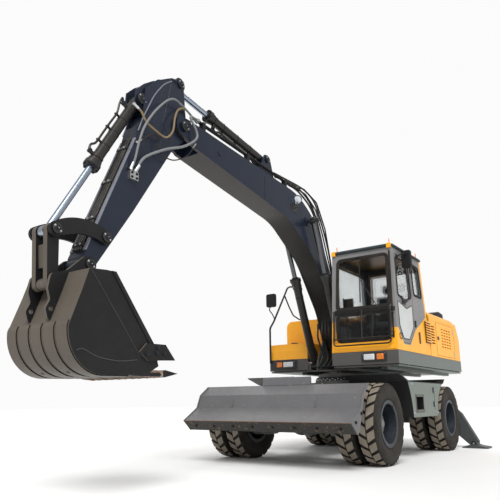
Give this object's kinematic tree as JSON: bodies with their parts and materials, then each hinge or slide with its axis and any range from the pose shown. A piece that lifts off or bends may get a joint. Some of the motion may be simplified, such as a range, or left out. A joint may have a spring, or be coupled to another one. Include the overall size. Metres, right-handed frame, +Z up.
{
  "type": "wheeled excavator",
  "caption": "Wheeled excavator with twin tyres, a swinging upper structure with cab and engine hood, a boom, arm and bucket, a dozer blade and two stabilisers.",
  "frame": {"origin": "on the ground below the middle of the bounding box, 1.733 m ahead of the slewing centre", "axes": "+X points forward to the blade and is the longest extent, +Y points to the cab side, +Z points up"},
  "size_m": [8.0658, 3.272, 4.4399],
  "materials": {
    "black_tube": "satin",
    "boom_paint": "satin",
    "cab_grey": "gloss",
    "cast": "rough",
    "chassis_paint": "satin",
    "chrome": "polished",
    "cylinder_black": "gloss",
    "glass": "clear",
    "plastic": "matte",
    "rim_paint": "satin",
    "tyre": "matte",
    "yellow": "gloss"
  },
  "bodies": {
    "chassis": {"chassis_frame": "chassis_paint", "slew_ring": "chassis_paint", "axles": "chassis_paint", "step_boxes": "chassis_paint", "blade_brackets": "chassis_paint", "outrigger": "chassis_paint"},
    "upper": {"deck_frame": "chassis_paint", "skirts": "chassis_paint", "counterweight": "yellow", "engine_cover": "yellow", "fuel_tank": "yellow", "engine_block": "cast", "cab_frame": "cab_grey", "cab_sill": "yellow", "cab_glass": "glass", "cab_roof": "cab_grey", "seat": "plastic", "console": "plastic", "windshield_guard": "black_tube", "handrail": "black_tube", "mirror_right": "black_tube"},
    "boom": {"boom": "boom_paint", "boom_pipes": "boom_paint"},
    "arm": {"arm": "boom_paint"},
    "bucket": {"bucket": "boom_paint"},
    "rockers": {"rockers": "boom_paint"},
    "h_link": {"h_link": "boom_paint"},
    "boom_barrels": {"boom_cylinder_barrels": "cylinder_black"},
    "boom_rods": {"boom_cylinder_rods": "chrome"},
    "arm_barrels": {"arm_cylinder_barrel": "cylinder_black"},
    "arm_rods": {"arm_cylinder_rod": "chrome"},
    "bucket_cylinder_body": {"bucket_cylinder_barrel": "cylinder_black"},
    "bucket_rod": {"bucket_cylinder_rod": "chrome"},
    "blade": {"blade": "chassis_paint"},
    "blade_barrels": {"blade_cylinder_barrels": "cylinder_black"},
    "blade_rods": {"blade_cylinder_rods": "chrome"},
    "stabiliser_left": {"stabiliser_left": "chassis_paint"},
    "stabiliser_barrel_left": {"stabiliser_barrel_left": "cylinder_black"},
    "stabiliser_rod_left": {"stabiliser_rod_left": "chrome"},
    "stabiliser_right": {"stabiliser_right": "chassis_paint"},
    "stabiliser_barrel_right": {"stabiliser_barrel_right": "cylinder_black"},
    "stabiliser_rod_right": {"stabiliser_rod_right": "chrome"},
    "knuckle_left": {"knuckle_left": "chassis_paint"},
    "knuckle_right": {"knuckle_right": "chassis_paint"},
    "tie_rod": {"tie_rod": "chassis_paint"},
    "wheel_front_left": {"tyres_front_left": "tyre", "rims_front_left": "rim_paint"},
    "wheel_front_right": {"tyres_front_right": "tyre", "rims_front_right": "rim_paint"},
    "wheel_rear_left": {"tyres_rear_left": "tyre", "rims_rear_left": "rim_paint"},
    "wheel_rear_right": {"tyres_rear_right": "tyre", "rims_rear_right": "rim_paint"},
    "cab_door": {"cab_door": "cab_grey", "door_glass": "glass", "mirror_left": "black_tube"},
    "radiator_door": {"radiator_door": "yellow"},
    "pump_door": {"pump_door": "yellow"},
    "hood_lid": {"hood_lid": "yellow"}
  },
  "joints": [
    {"name": "upper_swing", "type": "hinge", "parent": "chassis", "child": "upper", "pos_m": [-1.733, 0, 1.117], "axis": [0, 0, 1], "continuous": true},
    {"name": "boom_lift", "type": "hinge", "parent": "upper", "child": "boom", "pos_m": [-1.613, -0.14, 1.7], "axis": [0, -1, 0], "range_deg": [-55, 30]},
    {"name": "arm_curl", "type": "hinge", "parent": "boom", "child": "arm", "pos_m": [2.397, -0.14, 3.82], "axis": [0, 1, 0], "range_deg": [-35, 65]},
    {"name": "bucket_curl", "type": "hinge", "parent": "arm", "child": "bucket", "pos_m": [3.594, -0.14, 1.982], "axis": [0, 1, 0], "range_deg": [-95, 45]},
    {"name": "boom_cylinder_swing", "type": "hinge", "parent": "upper", "child": "boom_barrels", "pos_m": [-1.313, -0.14, 1.32], "axis": [0, -1, 0], "range_deg": [-52.62, 29.16]},
    {"name": "boom_rod_slide", "type": "slide", "parent": "boom_barrels", "child": "boom_rods", "axis": [0.3871, 0, 0.922], "range_m": [-0.4266, 0.2372]},
    {"name": "arm_cylinder_swing", "type": "hinge", "parent": "boom", "child": "arm_barrels", "pos_m": [0.547, -0.14, 4.12], "axis": [0, -1, 0], "range_deg": [-7.38, 4.43]},
    {"name": "arm_rod_slide", "type": "slide", "parent": "arm_barrels", "child": "arm_rods", "axis": [0.9917, 0, 0.1283], "range_m": [-0.2932, 0.536]},
    {"name": "rocker_swing", "type": "hinge", "parent": "arm", "child": "rockers", "pos_m": [3.427, -0.14, 2.27], "axis": [0, -1, 0], "range_deg": [-33.96, 70.59]},
    {"name": "link_swing", "type": "hinge", "parent": "rockers", "child": "h_link", "pos_m": [3.967, -0.14, 2.22], "axis": [0, -1, 0], "range_deg": [-52.42, 25.36]},
    {"name": "bucket_cylinder_swing", "type": "hinge", "parent": "arm", "child": "bucket_cylinder_body", "pos_m": [2.987, -0.14, 3.915], "axis": [0, -1, 0], "range_deg": [-3.98, 7.29]},
    {"name": "bucket_rod_slide", "type": "slide", "parent": "bucket_cylinder_body", "child": "bucket_rod", "axis": [0.5005, 0, -0.8657], "range_m": [-0.5871, 0.2834]},
    {"name": "blade_lift", "type": "hinge", "parent": "chassis", "child": "blade", "pos_m": [0.117, 0, 0.42], "axis": [0, -1, 0], "range_deg": [-39, 3]},
    {"name": "blade_cylinder_swing", "type": "hinge", "parent": "chassis", "child": "blade_barrels", "pos_m": [-0.033, 0, 0.87], "axis": [0, -1, 0], "range_deg": [-21.15, 2.55]},
    {"name": "blade_rod_slide", "type": "slide", "parent": "blade_barrels", "child": "blade_rods", "axis": [0.936, 0, -0.352], "range_m": [-0.0267, 0.2274]},
    {"name": "stabiliser_left_lift", "type": "hinge", "parent": "chassis", "child": "stabiliser_left", "pos_m": [-3.468, 0.47, 0.8], "axis": [1, 0, 0], "range_deg": [0, 40]},
    {"name": "stabiliser_left_cylinder_swing", "type": "hinge", "parent": "chassis", "child": "stabiliser_barrel_left", "pos_m": [-3.468, 0.13, 1.06], "axis": [1, 0, 0], "range_deg": [-1, 23.65]},
    {"name": "stabiliser_left_rod_slide", "type": "slide", "parent": "stabiliser_barrel_left", "child": "stabiliser_rod_left", "axis": [0, 0.9487, -0.3162], "range_m": [-0.1508, 0.01]},
    {"name": "stabiliser_right_lift", "type": "hinge", "parent": "chassis", "child": "stabiliser_right", "pos_m": [-3.468, -0.47, 0.8], "axis": [-1, 0, 0], "range_deg": [0, 40]},
    {"name": "stabiliser_right_cylinder_swing", "type": "hinge", "parent": "chassis", "child": "stabiliser_barrel_right", "pos_m": [-3.468, -0.13, 1.06], "axis": [-1, 0, 0], "range_deg": [-1, 23.65]},
    {"name": "stabiliser_right_rod_slide", "type": "slide", "parent": "stabiliser_barrel_right", "child": "stabiliser_rod_right", "axis": [0, -0.9487, -0.3162], "range_m": [-0.1508, 0.01]},
    {"name": "steer_left", "type": "hinge", "parent": "chassis", "child": "knuckle_left", "pos_m": [-0.121, 0.59, 0.5], "axis": [0, 0, 1], "range_deg": [-24, 24]},
    {"name": "steer_right", "type": "hinge", "parent": "chassis", "child": "knuckle_right", "pos_m": [-0.121, -0.59, 0.5], "axis": [0, 0, 1], "range_deg": [-25, 25]},
    {"name": "tie_rod_swing", "type": "hinge", "parent": "knuckle_left", "child": "tie_rod", "pos_m": [-0.381, 0.53, 0.424], "axis": [0, 0, 1], "range_deg": [-25, 25]},
    {"name": "wheel_front_left_roll", "type": "hinge", "parent": "knuckle_left", "child": "wheel_front_left", "pos_m": [-0.121, 0.98, 0.5], "axis": [0, 1, 0], "continuous": true},
    {"name": "wheel_front_right_roll", "type": "hinge", "parent": "knuckle_right", "child": "wheel_front_right", "pos_m": [-0.121, -0.98, 0.5], "axis": [0, 1, 0], "continuous": true},
    {"name": "wheel_rear_left_roll", "type": "hinge", "parent": "chassis", "child": "wheel_rear_left", "pos_m": [-2.757, 0.98, 0.5], "axis": [0, 1, 0], "continuous": true},
    {"name": "wheel_rear_right_roll", "type": "hinge", "parent": "chassis", "child": "wheel_rear_right", "pos_m": [-2.757, -0.98, 0.5], "axis": [0, 1, 0], "continuous": true},
    {"name": "cab_door_hinge", "type": "hinge", "parent": "upper", "child": "cab_door", "pos_m": [-1.448, 1.214, 2.2], "axis": [0, -0.0304, 0.9995], "range_deg": [0, 110]},
    {"name": "radiator_door_hinge", "type": "hinge", "parent": "upper", "child": "radiator_door", "pos_m": [-3.367, 1.232, 1.74], "axis": [0, 0, 1], "range_deg": [0, 100]},
    {"name": "pump_door_hinge", "type": "hinge", "parent": "upper", "child": "pump_door", "pos_m": [-3.367, -1.232, 1.74], "axis": [0, 0, -1], "range_deg": [0, 100]},
    {"name": "hood_lid_hinge", "type": "hinge", "parent": "upper", "child": "hood_lid", "pos_m": [-3.357, 0, 2.175], "axis": [0, 1, 0], "range_deg": [-70, 0]}
  ],
  "couplings": [
    {"joint": "boom_cylinder_swing", "follows": "boom_lift", "ratio": 0.93862},
    {"joint": "boom_rod_slide", "follows": "boom_lift", "m_per_rad": 0.43401},
    {"joint": "arm_cylinder_swing", "follows": "arm_curl", "ratio": -0.09811},
    {"joint": "arm_rod_slide", "follows": "arm_curl", "m_per_rad": 0.46367},
    {"joint": "rocker_swing", "follows": "bucket_curl", "ratio": -0.73255},
    {"joint": "link_swing", "follows": "bucket_curl", "ratio": 0.54131},
    {"joint": "bucket_cylinder_swing", "follows": "bucket_curl", "ratio": -0.06617},
    {"joint": "bucket_rod_slide", "follows": "bucket_curl", "m_per_rad": 0.34807},
    {"joint": "blade_cylinder_swing", "follows": "blade_lift", "ratio": 0.51675},
    {"joint": "blade_rod_slide", "follows": "blade_lift", "m_per_rad": -0.31943},
    {"joint": "stabiliser_left_cylinder_swing", "follows": "stabiliser_left_lift", "ratio": 0.56631},
    {"joint": "stabiliser_left_rod_slide", "follows": "stabiliser_left_lift", "m_per_rad": -0.20171},
    {"joint": "stabiliser_right_cylinder_swing", "follows": "stabiliser_right_lift", "ratio": 0.56631},
    {"joint": "stabiliser_right_rod_slide", "follows": "stabiliser_right_lift", "m_per_rad": -0.20171},
    {"joint": "steer_right", "follows": "steer_left", "ratio": 1},
    {"joint": "tie_rod_swing", "follows": "steer_left", "ratio": -1}
  ]
}
